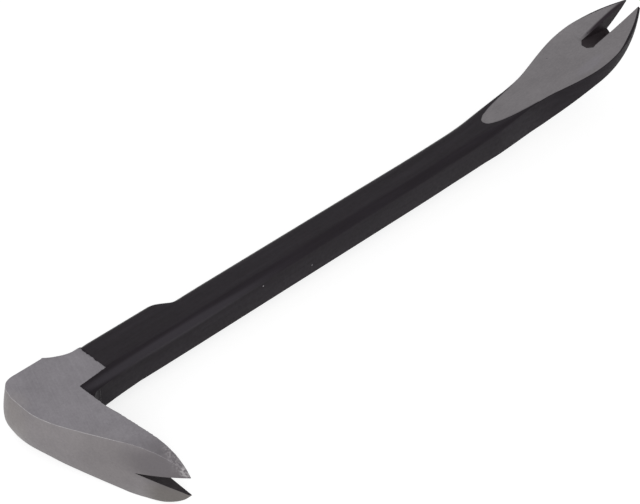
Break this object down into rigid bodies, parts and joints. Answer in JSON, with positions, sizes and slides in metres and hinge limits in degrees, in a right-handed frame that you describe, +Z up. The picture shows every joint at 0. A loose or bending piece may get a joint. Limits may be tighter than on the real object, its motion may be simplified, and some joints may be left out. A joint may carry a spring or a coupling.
{
  "type": "pry bar",
  "caption": "Short forged steel claw bar: an octagonal black shank with a right-angled hook claw and striking face at one end and an upswept straight claw at the other.",
  "frame": {"origin": "middle of the base of the tool's box, as the tool lies on its side: half-way along the length, half-way between striking face and hook tips, at the height of the hook's lower edge", "axes": "+X along the shank from the heel to the straight claw, +Y from the hook's tips towards the striking face, +Z up, from one side flat of the bar to the other, the way the straight claw sweeps"},
  "size_m": [0.254, 0.062, 0.0287],
  "materials": {
    "black_coat": "satin black coating over the forged steel",
    "ground_steel": "belt-ground bare steel, satin"
  },
  "bodies": {
    "root": {"shank": "black_coat", "shoulder": "black_coat", "striking_head": "ground_steel", "hook_blade": "ground_steel", "hook_tine_upper": "ground_steel", "hook_tine_lower": "ground_steel", "claw_neck": "black_coat", "claw_blade": "ground_steel", "claw_tine_left": "ground_steel", "claw_tine_right": "ground_steel"}
  },
  "joints": []
}
